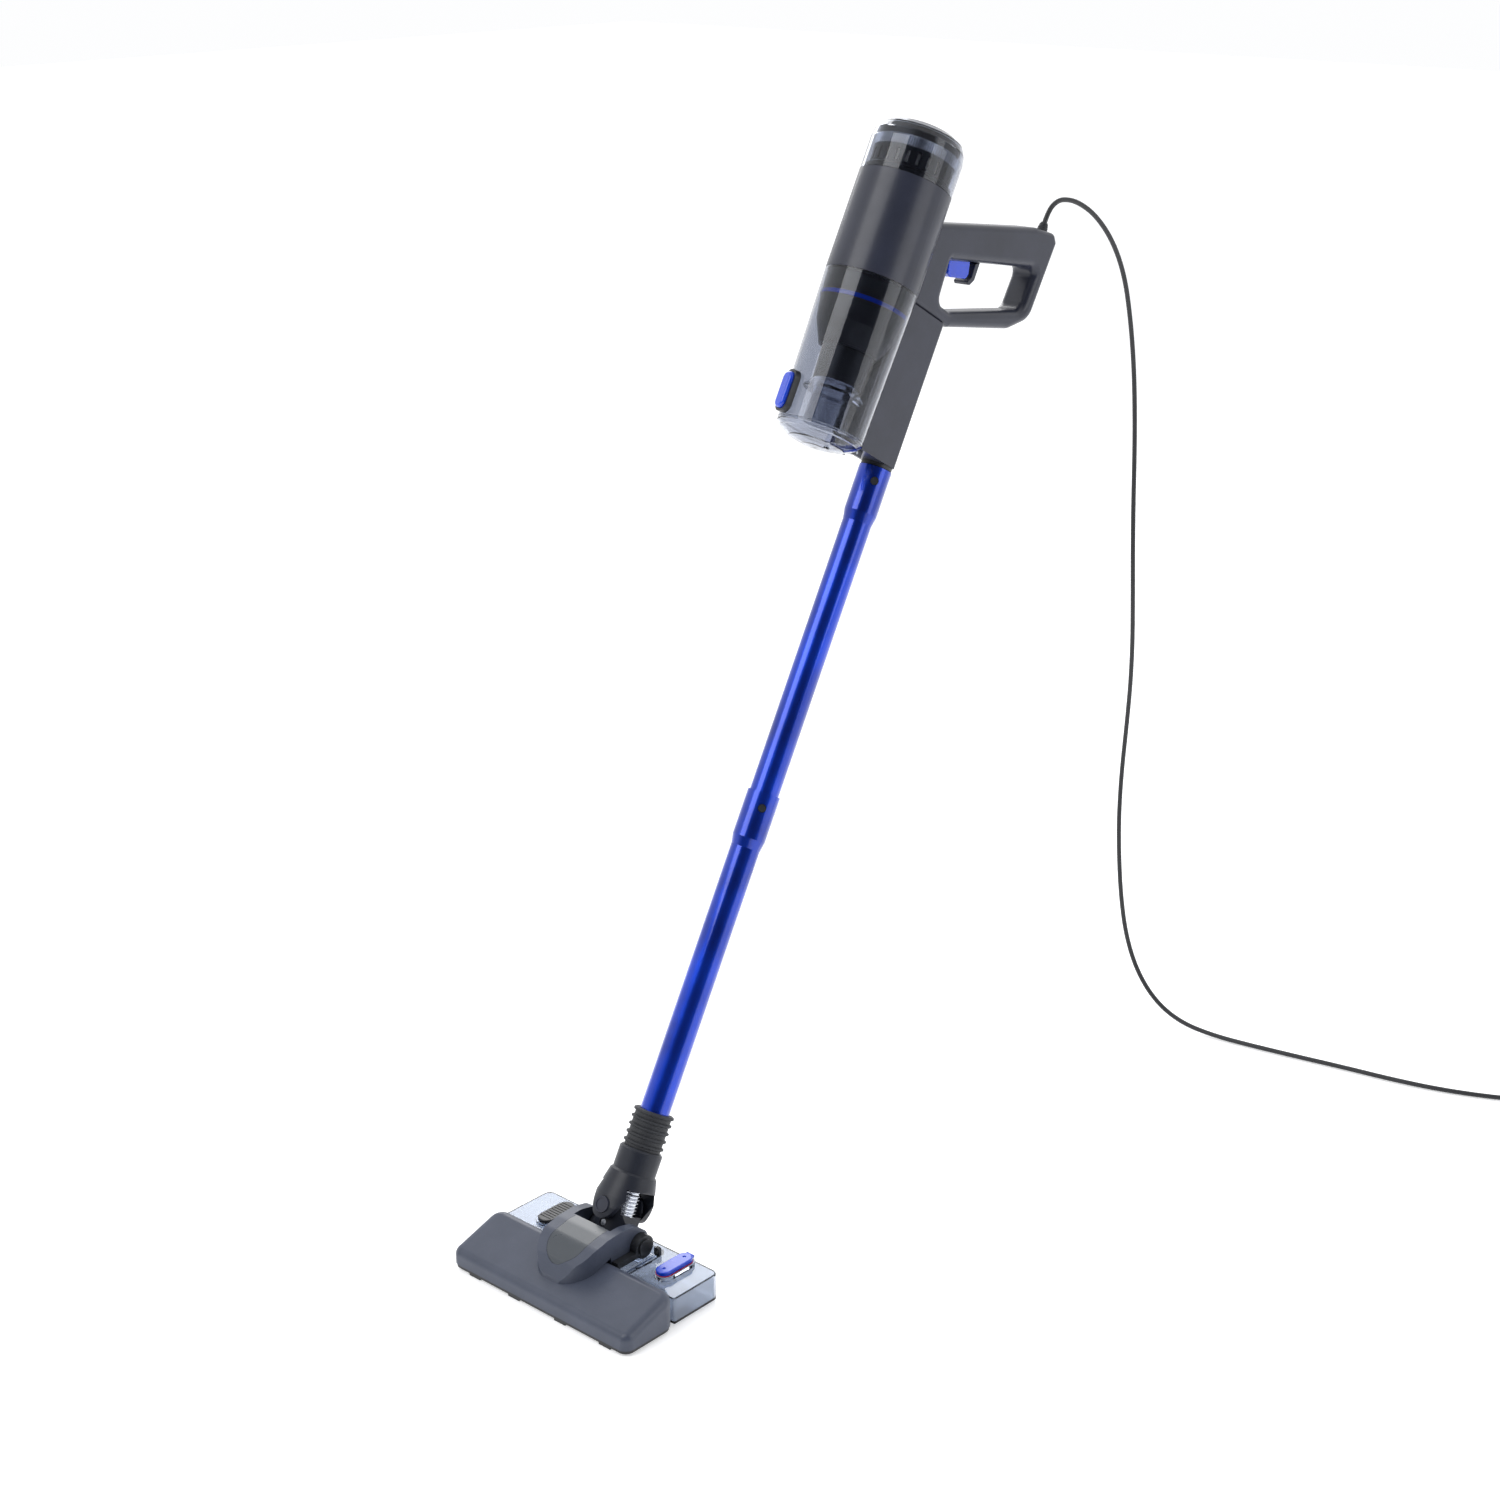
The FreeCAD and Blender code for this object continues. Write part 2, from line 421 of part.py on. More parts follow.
nscrew = cyl(3.3, 2.0, (0, -21.2, 8.5), (0, 1, 0)).cut(box(-2.4, 2.4, -21.5, -20.4, 8.1, 8.9)).cut(box(-0.4, 0.4, -21.5, -20.4, 6.1, 10.9))
save("neck_screw", nscrew)
hp = [(13.6, 5.4), (15.0, 5.4)]
s = 5.4
while s < 44.0:
    hp += [(15.0, s + 0.5), (16.7, s + 1.4), (16.7, s + 2.6), (15.0, s + 3.5)]
    s += 4.2
hp += [(15.0, 48.4), (14.2, 49.2), (13.6, 49.2)]
save("neck_hose", rev(hp))

# =====================================================================
# Floor head, built in place: x across, y back, z up from the floor
# =====================================================================
HW = HEAD_W / 2
plan = [(-HW, HEAD_FRONT), (HW, HEAD_FRONT), (HW, HEAD_BACK), (-HW, HEAD_BACK)]
PLAN_R = [11, 11, 15, 15]
side = [(HEAD_FRONT, 6.5), (HEAD_FRONT + 0.6, 22.5), (HEAD_BACK, 45.5), (HEAD_BACK, 6.5)]
shell = prism_x(side, 0, -HW - 5, HW + 5).common(prism_z(plan, PLAN_R, 0, 60))


def top_edge(e):
    b = e.BoundBox
    return b.ZMin > 20 and not (abs(b.YMin - HEAD_BACK) < 0.1 and abs(b.YMax - HEAD_BACK) < 0.1)


shell = soft(shell, top_edge, (9, 8, 7, 6, 5, 4, 3, 2))
ip = [(-HW + WALL, HEAD_FRONT + WALL), (HW - WALL, HEAD_FRONT + WALL), (HW - WALL, HEAD_BACK - WALL), (-HW + WALL, HEAD_BACK - WALL)]
iside = [(HEAD_FRONT + WALL, 5), (HEAD_FRONT + WALL, 20.2), (HEAD_BACK - WALL, 42.2), (HEAD_BACK - WALL, 5)]
inn = prism_x(iside, 0, -HW, HW).common(prism_z(ip, [9, 9, 12.5, 12.5], 0, 60))
inn = soft(inn, lambda e: e.BoundBox.ZMin > 18, (6, 5, 4, 3))
shell = shell.cut(inn)
# the middle is open to the pitch barrel
PIT = cyl(38.6, 53.0, (-26.5, PY, PZ), (1, 0, 0))
shell = shell.cut(PIT).cut(box(-26.5, 26.5, -1, 5, 5, 60)).cut(box(-36.2, 36.2, -4.0, 5, 33.5, 60)).cut(box(-46.1, 46.1, -6.4, 5, 34.0, 37.8))
save("head_shell", shell, lean=False)

# saddle cover over the barrel
sad_side = [(-52, 20), (-49, 33), (-41, 50), (-22, 62.5), (0, 67.3), (22, 68.3), (40, 64.5), (53, 54.5), (60.5, 38), (60.5, 34.2), (1.0, 34.2), (1.0, 20)]
SADW = 37.0
sad = prism_x(sad_side, [0, 6, 12, 30, 30, 25, 15, 10, 1, 1, 0, 0], -SADW, SADW)
sad_plan = [(-SADW, -51), (SADW, -51), (SADW, 62), (-SADW, 62)]
sad = sad.common(prism_z(sad_plan, [34, 34, 6, 6], 0, 90))
solid_head = prism_x(side, 0, -HW - 5, HW + 5).common(prism_z(plan, PLAN_R, 0, 60))
sad = sad.cut(solid_head)


def rim(e):
    b = e.BoundBox
    return (b.ZMin > 36 or b.ZMax > 45) and (abs(abs(b.XMin) - SADW) < 0.2 or abs(abs(b.XMax) - SADW) < 0.2) and b.YMax - b.YMin > 1.0


sad = sad.cut(PIT).cut(box(-26.5, 26.5, 12.0, 80, 30, 80))
sad = sad.cut(box(-SADW + 3.0, SADW - 3.0, -30, 3.0, 20, 46))
INL = 2.2
inl_side = [(-45, 33), (-38.5, 48.8), (-21, 60.6), (0, 65.3), (12.3, 66.1), (12.3, 69.5), (0, 69.5), (-24, 66), (-44, 54), (-54, 33)]
cutter = prism_x([(-40.5, 43.0), (-36.5, 49.6), (-20.6, 60.3), (0.2, 64.9), (14, 65.9), (14, 80), (-60, 80), (-60, 43.0)], [0, 3, 20, 20, 0, 0, 0, 0], -24, 24)
cutter = cutter.common(prism_z([(-23.6, -43.5), (23.6, -43.5), (23.6, 20), (-23.6, 20)], [22, 22, 0, 0], 0, 90))
inlay = sad.common(cutter)
sad = sad.cut(cutter)
inl_fit = prism_z([(-23.3, -43.2), (23.3, -43.2), (23.3, 20), (-23.3, 20)], [21.7, 21.7, 0, 0], 0, 90)
inlay = inlay.common(inl_fit)
# bores for the pitch trunnions
sad = sad.cut(cyl(13.2, 32, (26.0, PY, PZ), (1, 0, 0))).cut(cyl(13.2, 32, (-26.0, PY, PZ), (-1, 0, 0)))
# slot for the frame's cross bar
sad = sad.cut(box(-46, 46, -6.3, 3.7, 34.1, 37.7))
save("saddle_cover", sad, lean=False)
save("saddle_inlay", inlay, lean=False)

# frame that carries the barrel trunnions
fr = []
for sg in (-1, 1):
    boss = cyl(12.8, 17.5, (sg * 28.2, PY, PZ), (sg, 0, 0))
    boss = boss.fuse(cyl(9.0, 1.6, (sg * 45.7, PY, PZ), (sg, 0, 0)))
    arm = box(min(sg * 38.0, sg * 45.7), max(sg * 38.0, sg * 45.7), 2.6, PY + 6, 34.4, 41.0)
    arm2 = box(min(sg * 28.2, sg * 45.7), max(sg * 28.2, sg * 45.7), 2.6, 3.9, 34.4, 41.0)
    part = boss.fuse([arm])
    part = part.cut(cyl(7.05, 12, (sg * 27.5, PY, PZ), (sg, 0, 0)))
    fr.append(part)
bar = box(-45.7, 45.7, -6.0, 3.4, 34.4, 37.4)
frame = fr[0].fuse([fr[1], bar])
frame = frame.cut(PIT)
save("pivot_frame", frame.removeSplitter(), lean=False)

# base plate with the suction mouth and wheel pockets
bp = [(-HW + 2.9, HEAD_FRONT + 2.9), (HW - 2.9, HEAD_FRONT + 2.9), (HW - 2.9, HEAD_BACK - 2.9), (-HW + 2.9, HEAD_BACK - 2.9)]
base = prism_z(bp, [8.6, 8.6, 12.3, 12.3], 6.8, 9.6)
base = base.cut(box(-104, 104, -56, -38, 5, 12))
base = base.cut(PIT)
WX, WY = 101.0, -13.0
for sg in (-1, 1):
    base = base.cut(box(sg * WX - 7, sg * WX + 7, WY - 10.5, WY + 10.5, 5, 12))
    for d in (-8.6, 8.6):
        blk = box(sg * WX + d - 1.5, sg * WX + d + 1.5, WY - 5, WY + 5, 5.2, 12.5)
        base = base.fuse(blk)
    base = base.cut(cyl(1.5, 24, (sg * WX - 12, WY, WHEEL_R), (1, 0, 0)))
save("base_plate", base.removeSplitter(), lean=False)
save("wheel_axles", group([cyl(1.5, 20.0, (sg * WX - 10, WY, WHEEL_R), (1, 0, 0)) for sg in (-1, 1)]), lean=False)
for nm, sg in (("wheel_left", -1), ("wheel_right", 1)):
    wh = cyl(WHEEL_R, 11, (sg * WX - 5.5, WY, WHEEL_R), (1, 0, 0)).cut(cyl(1.55, 20, (sg * WX - 10, WY, WHEEL_R), (1, 0, 0)))
    wh = wh.cut(cyl(5.5, 1.2, (sg * WX - 5.5, WY, WHEEL_R), (1, 0, 0)).cut(cyl(2.6, 2, (sg * WX - 6, WY, WHEEL_R), (1, 0, 0))))
    wh = wh.cut(cyl(5.5, 1.2, (sg * WX + 4.3, WY, WHEEL_R), (1, 0, 0)).cut(cyl(2.6, 2, (sg * WX + 4.0, WY, WHEEL_R), (1, 0, 0))))
    save(nm, wh, lean=False)

# bumper strip under the shell's edge, with glides along the front
def ring_plan(d0, d1, z0, z1):
    o = [(-HW + d0, HEAD_FRONT + d0), (HW - d0, HEAD_FRONT + d0), (HW - d0, HEAD_BACK - d0), (-HW + d0, HEAD_BACK - d0)]
    i = [(-HW + d1, HEAD_FRONT + d1), (HW - d1, HEAD_FRONT + d1), (HW - d1, HEAD_BACK - d1), (-HW + d1, HEAD_BACK - d1)]
    return prism_z(o, [11 - d0, 11 - d0, 15 - d0, 15 - d0], z0, z1).cut(prism_z(i, [6, 6, 10, 10], z0 - 1, z1 + 1))


strip = ring_plan(1.2, 7.0, 2.6, 6.5)
for gx in (-95, -36, 32, 96):
    strip = strip.fuse(box(gx - 8, gx + 8, HEAD_FRONT + 1.6, HEAD_FRONT + 7.0, 0.0, 3.0))
strip = strip.cut(PIT)
save("bumper_strip", strip.removeSplitter(), lean=False)

# clear water tank: two chambers either side of the neck, tied at the back
TW = TANK_W / 2
TY0 = HEAD_BACK + 0.5
tp = [(-TW, TY0), (TW, TY0), (TW, TANK_BACK), (-TW, TANK_BACK)]
tank = prism_z(tp, [2, 2, 9, 9], 4.0, TANK_H)
tank = soft(tank, lambda e: abs(e.BoundBox.ZMin - TANK_H) < 0.01 and e.BoundBox.YMax > TY0 + 3, (2.0, 1.5, 1))
tank = tank.cut(box(-28.6, 28.6, 0, 90, 7.0, 50)).cut(box(-28.6, 28.6, 0, 58.5, 0, 50)).cut(box(-50, 50, 0, 62, 28.0, 50))
cav = prism_z([(-TW + 2, TY0 + 2), (TW - 2, TY0 + 2), (TW - 2, TANK_BACK - 2), (-TW + 2, TANK_BACK - 2)], [2, 2, 7, 7], 6.0, TANK_H - 2)
cav = cav.cut(box(-30.6, 30.6, 0, 90, 0, 50)).cut(box(-52, 52, 0, 64, 26.0, 50))
tank = tank.cut(cav)


def stadium(cx, cy, half_len, r, z0, z1):
    a = box(cx - r, cx + r, cy - half_len + r, cy + half_len - r, z0, z1)
    return a.fuse([cyl(r, z1 - z0, (cx, cy - half_len + r, z0)), cyl(r, z1 - z0, (cx, cy + half_len - r, z0))]).removeSplitter()


FX, FY = 88.0, 42.0
DX, DY = -80.0, 37.0
boss = stadium(FX, FY, 25.5, 11.0, TANK_H - 0.5, 37.2)
tank = tank.fuse(boss).cut(cyl(6.6, 12, (FX, FY - 12, 29)))
rim_ = stadium(DX, DY, 25.5, 12.6, TANK_H - 0.5, 36.0).cut(stadium(DX, DY, 23.6, 10.6, TANK_H, 37))
tank = tank.fuse(rim_).cut(cyl(4.0, 12, (DX, DY, 29)))
save("water_tank", tank.removeSplitter(), lean=False)
seal = stadium(FX, FY, 24.0, 9.5, 37.2, 38.0).cut(cyl(6.6, 12, (FX, FY - 12, 32)))
save("fill_seal", seal, lean=False)
fcap = stadium(FX, FY, 23.5, 8.6, 38.3, 42.3)
fcap = soft(fcap, lambda e: abs(e.BoundBox.ZMin - 42.3) < 0.01, (1.4, 1))
fcap = fcap.fuse(cyl(5.0, 5.0, (FX, FY - 12, 33.5))).cut(cyl(2.0, 1.0, (FX, FY + 15, 41.5))).cut(cyl(2.0, 1.0, (FX, FY - 15, 41.5)))
fcap = fcap.removeSplitter().fuse(cyl(1.8, 9.0, (FX - 4.5, FY + 23.5, 40.3), (1, 0, 0)))   # hinge barrel at the rear
save("fill_cap", fcap, lean=False)
drip = stadium(DX, DY, 23.2, 10.2, 35.6, 39.0)
drip = soft(drip, lambda e: abs(e.BoundBox.ZMin - 39.0) < 0.01, (1.2, 0.8))
for i in range(9):
    drip = drip.cut(box(DX - 7.5, DX + 7.5, DY - 16.6 + i * 4 , DY - 15.4 + i * 4, 38.4, 40))
drip = drip.fuse(cyl(3.6, 12, (DX, DY, 24)))
save("drip_button", drip.removeSplitter(), lean=False)
clip = prism_y([(51.2, 33.0), (58.4, 33.0), (58.4, 42.0), (51.2, 42.0)], [0, 0, 2.5, 2.5], 50, 54).cut(prism_y([(53.2, 35.2), (56.4, 35.2), (56.4, 40.0), (53.2, 40.0)], 1, 49, 55))
clip.translate(V(0, 0, 0.3))
save("tank_latch", clip, lean=False)

# =====================================================================
# Mains cord
# =====================================================================
relief = rev([(0, 1162), (7.6, 1162), (7.6, 1165), (6.0, 1165), (6.0, 1180), (5.6, 1180.8), (5.8, 1182.2), (5.2, 1183), (5.4, 1184.2), (4.8, 1184.9), (5.0, 1186.2), (4.3, 1186.8), (4.1, 1188), (0, 1188)], 143.0)
save("strain_relief", relief)


def out(k, s, x=0.0):
    return LEAN.multVec(V(x, k, s))


EXIT = out(143.0, 1188.0)
ROUTE = [EXIT] + [V(*p) for p in (
    (0.0, 756.9, 1020.1), (0.2, 768.3, 1028.3), (1.0, 783.0, 1031.2), (3.6, 808.3, 1025.8), (8.0, 839.1, 1007.8),
    (12.2, 869.4, 976.1), (15.1, 892.5, 934.2), (16.3, 906.8, 884.2), (17.5, 917.0, 830.0), (19.0, 922.0, 775.0),
    (22.0, 922.0, 718.0), (27.0, 917.0, 661.0), (33.0, 912.0, 604.0), (37.0, 911.0, 547.0), (38.0, 914.0, 490.0),
    (35.0, 919.0, 433.0), (31.0, 921.0, 376.0), (30.0, 917.0, 319.0), (33.0, 911.0, 263.0), (39.0, 907.0, 208.0),
    (46.0, 906.0, 154.0), (56.0, 907.0, 104.0), (74.0, 909.0, 60.0), (102.0, 911.0, 27.0), (138.0, 914.0, 8.5),
    (184.0, 919.0, 3.2), (236.0, 927.0, 3.2), (292.0, 938.0, 3.2), (348.0, 950.0, 3.2), (404.0, 960.0, 3.2),
    (456.0, 973.0, 3.2), (502.0, 991.0, 3.2), (540.0, 1011.0, 3.2), (573.0, 1031.0, 3.2))]


def tube(points, r):
    """straight runs and tangent arcs"""
    edges, cur, radii = [], points[0], []
    for i in range(1, len(points) - 1):
        p = points[i]
        a = points[i - 1] - p; b = points[i + 1] - p
        la, lb = a.Length, b.Length
        ua, ub = V(a).normalize(), V(b).normalize()
        turn = math.pi - ua.getAngle(ub)
        rad = 0.45 * min(la, lb) / math.tan(turn / 2)
        t = rad * math.tan(turn / 2)
        p0, p1 = p + ua * t, p + ub * t
        mid = p + (ua + ub).normalize() * (rad / math.cos(turn / 2) - rad)
        if (p0 - cur).Length > 1e-4:
            edges.append(Part.LineSegment(cur, p0).toShape())
        edges.append(Part.Arc(p0, mid, p1).toShape())
        cur = p1
        radii.append(rad)
    edges.append(Part.LineSegment(cur, points[-1]).toShape())
    wire = Part.Wire(edges)
    d = points[1] - points[0]
    prof = Part.Wire([Part.Circle(points[0], d, r).toShape()])
    s = wire.makePipeShell([prof], True, False)
    return s, wire.Length, min(radii)


cord, cord_len, rmin = tube(ROUTE, CORD_R)
print("cord length %.0f, smallest radius %.1f, volume ratio %.4f" % (cord_len, rmin, cord.Volume / (math.pi * CORD_R ** 2 * cord_len)))
save("cord", cord, lean=False)

end = ROUTE[-1]
dirn = V(ROUTE[-1].x - ROUTE[-2].x, ROUTE[-1].y - ROUTE[-2].y, 0).normalize()
COIL_MID, COIL_HALF, COIL_Z = 33.6, 11.5, 23.2
LEAD = 24.0          # from the end of the free stretch to where it meets the coil's outer turn
SIDE = COIL_MID + COIL_HALF - CORD_R
left_of = V(-dirn.y, dirn.x, 0)
cc = V(end.x, end.y, 0) + dirn * LEAD + left_of * SIDE
coil = rev([(COIL_MID - COIL_HALF, 4), (COIL_MID - COIL_HALF + 3.8, 0.2), (COIL_MID + COIL_HALF - 3.8, 0.2), (COIL_MID + COIL_HALF, 4),
            (COIL_MID + COIL_HALF, COIL_Z - 4), (COIL_MID + COIL_HALF - 4, COIL_Z), (COIL_MID - COIL_HALF + 4, COIL_Z), (COIL_MID - COIL_HALF, COIL_Z - 4)])
coil.translate(cc)
coil = coil.fuse(Part.makeCylinder(CORD_R, LEAD, ROUTE[-1], dirn))


def turned(shape, d, at):
    s = shape.copy()
    s.Placement = Placement(at, Rotation(V(1, 0, 0), d))
    return s


# the plug's lead leaves the top turn on the other side
pd = V(math.cos(math.radians(PLUG_TURN)), math.sin(math.radians(PLUG_TURN)), 0)
pat = V(cc.x, cc.y, 17.0) + V(pd.y, -pd.x, 0) * SIDE + pd * 28.0
coil = coil.fuse(Part.makeCylinder(CORD_R, 28.0, pat - pd * 28.0, pd))
save("cord_coil", coil.removeSplitter(), lean=False)
pb = Part.Face(Part.makePolygon([V(0, 0, 0), V(0, 3.6, 0), V(22, 5.4, 0), V(28, 11, 0), V(35, 15.5, 0), V(50, 16.5, 0), V(58, 16.5, 0), V(58, 0, 0), V(0, 0, 0)])).revolve(V(0, 0, 0), V(1, 0, 0), 360)
ppin = [cyl(2.4, 18.7, (58.3, sg * 9.5, 0), (1, 0, 0)).fuse(cyl(2.1, 4.4, (54, sg * 9.5, 0), (1, 0, 0))) for sg in (-1, 1)]
pins_ = group(ppin)
pbody = pb.cut(pins_)
save("plug_body", turned(pbody, pd, pat), lean=False)
save("plug_pins", turned(pins_, pd, pat), lean=False)
print("exit", EXIT, "coil centre", cc, "plug", pat, pd)
print("box", BOX)
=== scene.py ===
import bpy, bmesh, json, math
from mathutils import Matrix, Vector


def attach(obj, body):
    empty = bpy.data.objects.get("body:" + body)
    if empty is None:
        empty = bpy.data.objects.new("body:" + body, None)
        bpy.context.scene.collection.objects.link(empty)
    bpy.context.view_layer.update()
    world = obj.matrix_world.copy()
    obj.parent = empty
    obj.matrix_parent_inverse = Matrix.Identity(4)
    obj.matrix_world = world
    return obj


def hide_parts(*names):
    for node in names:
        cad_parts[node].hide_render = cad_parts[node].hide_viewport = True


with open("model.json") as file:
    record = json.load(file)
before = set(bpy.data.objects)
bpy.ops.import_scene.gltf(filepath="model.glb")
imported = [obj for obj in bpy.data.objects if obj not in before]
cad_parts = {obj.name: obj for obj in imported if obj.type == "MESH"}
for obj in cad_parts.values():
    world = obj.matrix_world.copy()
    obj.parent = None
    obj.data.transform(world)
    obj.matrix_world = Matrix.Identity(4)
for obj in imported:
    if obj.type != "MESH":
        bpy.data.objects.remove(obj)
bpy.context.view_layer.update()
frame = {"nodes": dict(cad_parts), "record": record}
NODES = frame["nodes"]

# the wand's own frame: s runs up the leaning wand, k towards its rear, x to the right
TILT = math.radians(29.4)
YS = -0.3418
P0 = Vector((0.0, 0.0423 + YS, 0.0431))
WAX = Vector((0.0, math.sin(TILT), math.cos(TILT)))
KAX = Vector((0.0, math.cos(TILT), -math.sin(TILT)))


def W(k, s, x=0.0):
    """millimetres along the wand's own axes to a point in metres"""
    return P0 + WAX * (s / 1000) + KAX * (k / 1000) + Vector((x / 1000, 0, 0))


def C(x, y, z):
    """millimetres from the head's middle on the floor to a point in metres"""
    return Vector((x / 1000, y / 1000 + YS, z / 1000))


# ------------------------------------------------------------------ camera
cam_data = bpy.data.cameras.new("cam")
cam = bpy.data.objects.new("cam", cam_data)
bpy.context.scene.collection.objects.link(cam)
cam_data.sensor_width = 36.0
cam_data.lens = 59.432
cam_data.clip_start, cam_data.clip_end = 0.05, 40.0
right = Vector((0.74439037, 0.66773747, -0.0031065)).normalized()
back = Vector((0.62823375, -0.69876012, 0.34213543)).normalized()
up = back.cross(right).normalized()
m = Matrix((right, up, back)).transposed().to_4x4()
m.translation = Vector((1.61691342, -1.88207437, 1.40003997))
cam.matrix_world = m
bpy.context.scene.camera = cam

# ------------------------------------------------------------------ colour helpers


def lin(hexcol):
    out = []
    for i in (0, 2, 4):
        c = int(hexcol[i:i + 2], 16) / 255
        out.append(c / 12.92 if c <= 0.04045 else ((c + 0.055) / 1.055) ** 2.4)
    return (out[0], out[1], out[2], 1.0)


class Mat:
    """one node material: a Principled shader fed by object-space procedural detail"""

    def __init__(self, name):
        self.mat = bpy.data.materials.new(name)
        self.mat.use_nodes = True
        self.nt = self.mat.node_tree
        self.b = self.nt.nodes["Principled BSDF"]
        self.tc = self.nt.nodes.new("ShaderNodeTexCoord").outputs["Object"]

    def set(self, **kw):
        for k, v in kw.items():
            self.b.inputs[k.replace("_", " ")].default_value = v
        return self

    def link(self, a, b):
        self.nt.links.new(a, b)

    def mapped(self, scale=(1, 1, 1), rot=(0, 0, 0)):
        n = self.nt.nodes.new("ShaderNodeMapping")
        n.inputs["Scale"].default_value = scale
        n.inputs["Rotation"].default_value = rot
        self.link(self.tc, n.inputs["Vector"])
        return n.outputs[0]

    def noise(self, scale, detail=3.0, rough=0.55, vec=None, dist=0.0):
        n = self.nt.nodes.new("ShaderNodeTexNoise")
        n.inputs["Scale"].default_value = scale
        n.inputs["Detail"].default_value = detail
        n.inputs["Roughness"].default_value = rough
        n.inputs["Distortion"].default_value = dist
        self.link(vec or self.tc, n.inputs["Vector"])
        return n.outputs[0]

    def voronoi(self, scale, vec=None, feature="F1"):
        n = self.nt.nodes.new("ShaderNodeTexVoronoi")
        n.feature = feature
        n.inputs["Scale"].default_value = scale
        self.link(vec or self.tc, n.inputs["Vector"])
        return n.outputs[0]

    def wave(self, scale, vec=None, dist=0.0, direction="X", kind="BANDS", profile="SIN"):
        n = self.nt.nodes.new("ShaderNodeTexWave")
        n.wave_type = kind
        if kind == "BANDS":
            n.bands_direction = direction
        n.wave_profile = profile
        n.inputs["Scale"].default_value = scale
        n.inputs["Distortion"].default_value = dist
        self.link(vec or self.tc, n.inputs["Vector"])
        return n.outputs["Fac"]

    def ramp(self, fac, stops):
        n = self.nt.nodes.new("ShaderNodeValToRGB")
        els = n.color_ramp.elements
        while len(els) < len(stops):
            els.new(0.5)
        for e, (p, c) in zip(els, stops):
            e.position = p
            e.color = c if hasattr(c, "__len__") else (c, c, c, 1)
        self.link(fac, n.inputs["Fac"])
        return n.outputs["Color"]

    def mixrgb(self, fac, a, b, mode="MIX"):
        n = self.nt.nodes.new("ShaderNodeMix")
        n.data_type = "RGBA"
        n.blend_type = mode
        for s, v in ((n.inputs[0], fac), (n.inputs[6], a), (n.inputs[7], b)):
            if isinstance(v, bpy.types.NodeSocket):
                self.link(v, s)
            else:
                s.default_value = v
        return n.outputs[2]

    def math(self, op, a, b=0.0, clamp=False):
        n = self.nt.nodes.new("ShaderNodeMath")
        n.operation = op
        n.use_clamp = clamp
        for s, v in ((n.inputs[0], a), (n.inputs[1], b)):
            if isinstance(v, bpy.types.NodeSocket):
                self.link(v, s)
            else:
                s.default_value = v
        return n.outputs[0]

    def remap(self, v, lo, hi):
        n = self.nt.nodes.new("ShaderNodeMapRange")
        self.link(v, n.inputs["Value"])
        n.inputs["To Min"].default_value = lo
        n.inputs["To Max"].default_value = hi
        return n.outputs[0]

    def bump(self, height, strength, distance, normal=None):
        n = self.nt.nodes.new("ShaderNodeBump")
        n.inputs["Strength"].default_value = strength
        n.inputs["Distance"].default_value = distance
        self.link(height, n.inputs["Height"])
        if normal is not None:
            self.link(normal, n.inputs["Normal"])
        return n.outputs[0]

    def normal(self, n):
        self.link(n, self.b.inputs["Normal"])
        return self

    def color(self, c):
        self.link(c, self.b.inputs["Base Color"])
        return self

    def rough(self, r):
        self.link(r, self.b.inputs["Roughness"])
        return self


def moulded(name, base, dark, rough=0.42, grain=1500, grain_mm=0.012, coat=0.0, var=0.35, rvar=0.08, spec=0.5):
    """moulded plastic: fine spark texture, slow colour drift, a little dust-like wear"""
    m = Mat(name)
    slow = m.noise(22, 4, 0.6)
    fine = m.noise(grain, 2, 0.5)
    c = m.mixrgb(m.ramp(slow, [(0.3, 0.0), (0.72, 1.0)]), dark, base)
    speck = m.ramp(m.noise(grain * 0.6, 1, 0.4), [(0.42, 0.93), (0.62, 1.06)])
    c = m.mixrgb(var, c, speck, "MULTIPLY")
    m.color(c)
    smear = m.noise(45, 5, 0.7, dist=0.4)
    m.rough(m.remap(smear, rough - rvar, rough + rvar))
    m.set(Specular_IOR_Level=spec, Coat_Weight=coat, Coat_Roughness=0.12)
    n = m.bump(fine, 0.55, grain_mm / 1000)
    n = m.bump(slow, 0.15, 0.00025, n)
    m.normal(n)
    return m.mat


MAT = {}
MAT["slate"] = moulded("slate_plastic", lin("2F3240"), lin("272A36"), 0.32, coat=0.10, spec=0.4)
MAT["head_grey"] = moulded("head_grey", lin("4A5060"), lin("414756"), 0.38, coat=0.06, spec=0.4)
MAT["neck_grey"] = moulded("neck_grey", lin("232731"), lin("1D2029"), 0.40, spec=0.35)
MAT["inlay_grey"] = moulded("inlay_grey", lin("434950"), lin("3A4047"), 0.30, coat=0.2)
MAT["slate_dark"] = moulded("slate_dark", lin("3A3E48"), lin("31353F"), 0.38)
MAT["dark"] = moulded("dark_plastic", lin("24262B"), lin("1B1D21"), 0.40)
MAT["charcoal"] = moulded("charcoal_rubber", lin("2C2E33"), lin("232529"), 0.62, grain=900, grain_mm=0.03)
MAT["blue"] = moulded("blue_plastic", lin("0042D4"), lin("0038BE"), 0.26, coat=0.5, grain_mm=0.006, var=0.15)
MAT["cord"] = moulded("cord_rubber", lin("2A2B2E"), lin("202124"), 0.50, grain=1100, grain_mm=0.03)
MAT["wheel"] = moulded("wheel_rubber", lin("35373B"), lin("2A2B2F"), 0.68, grain=900, grain_mm=0.04)
MAT["red"] = moulded("red_seal", lin("B3202A"), lin("93151E"), 0.42, grain_mm=0.01)


